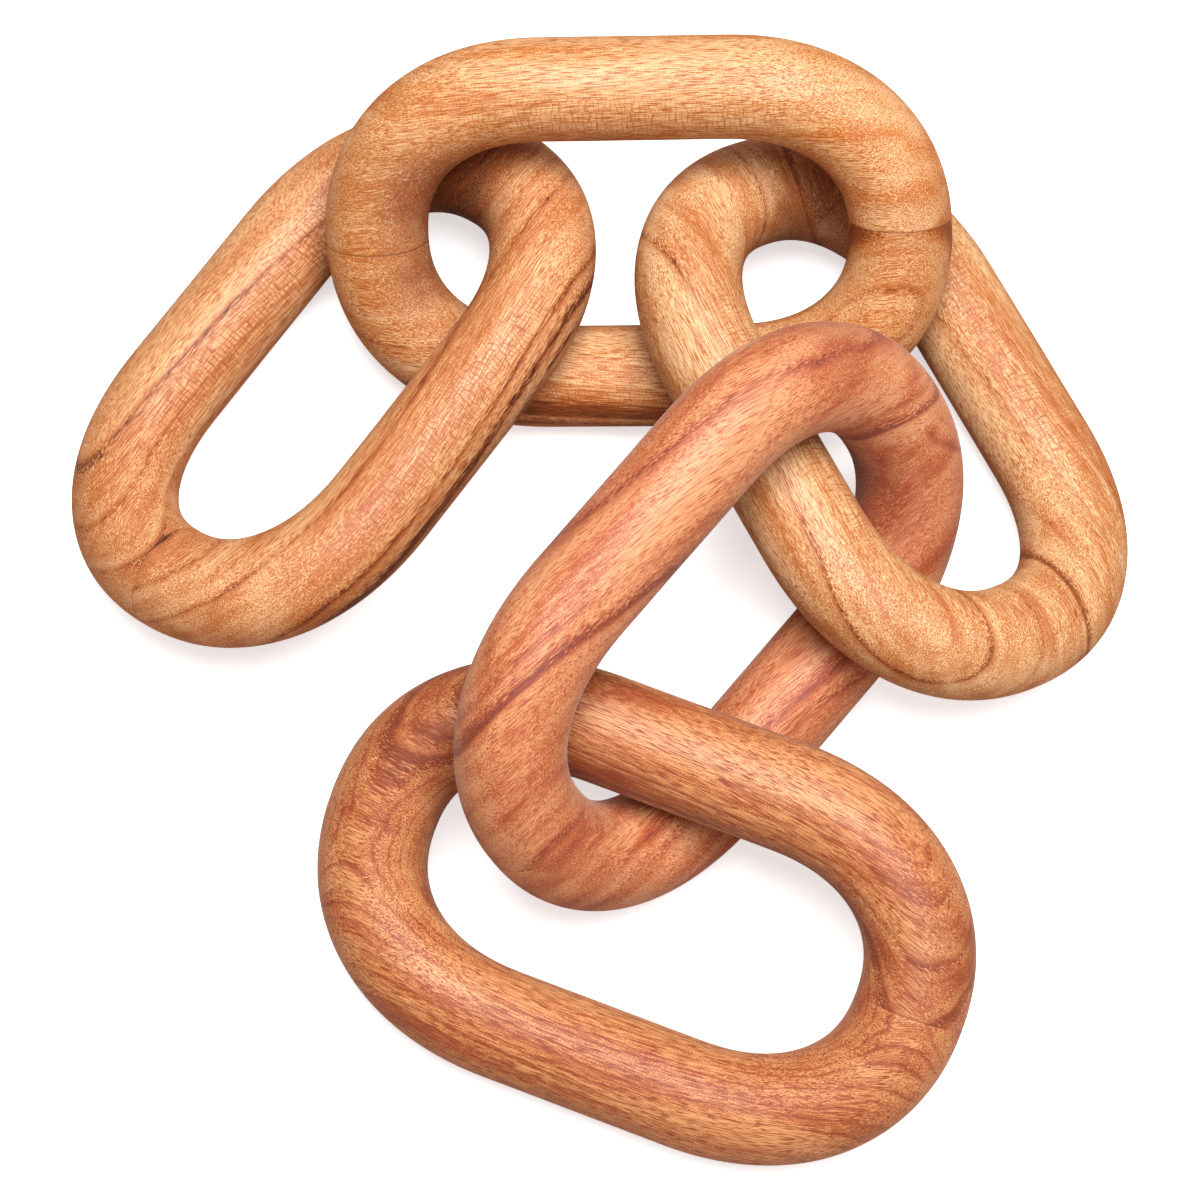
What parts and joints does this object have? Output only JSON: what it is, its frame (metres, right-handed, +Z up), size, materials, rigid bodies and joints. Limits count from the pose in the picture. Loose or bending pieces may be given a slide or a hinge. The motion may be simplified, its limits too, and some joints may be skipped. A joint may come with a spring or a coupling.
{
  "type": "wooden chain",
  "caption": "Loose decorative chain of closed oval links in round-bar wood, lying in a curve with the links leaning on each other.",
  "frame": {"origin": "on the surface the chain lies on, under the middle of its bounding box", "axes": "+Z up from that surface, +X along the long side of link_2, +Y from the loose end at link_5 towards link_2"},
  "size_m": [0.2515, 0.2591, 0.0848],
  "materials": {
    "honey_wood_streaked": "satin oiled wood with near-black streaks",
    "yellow_wood": "satin oiled wood with a dark brown band",
    "honey_wood_ringed": "satin oiled wood with brown ring streaks",
    "pink_wood": "satin oiled wood with red streaks",
    "red_brown_wood": "satin oiled wood with an arched grain figure and fine pores"
  },
  "bodies": {
    "root": {"link_1": "honey_wood_streaked", "link_2": "yellow_wood", "link_3": "honey_wood_ringed", "link_4": "pink_wood", "link_5": "red_brown_wood"}
  },
  "joints": []
}
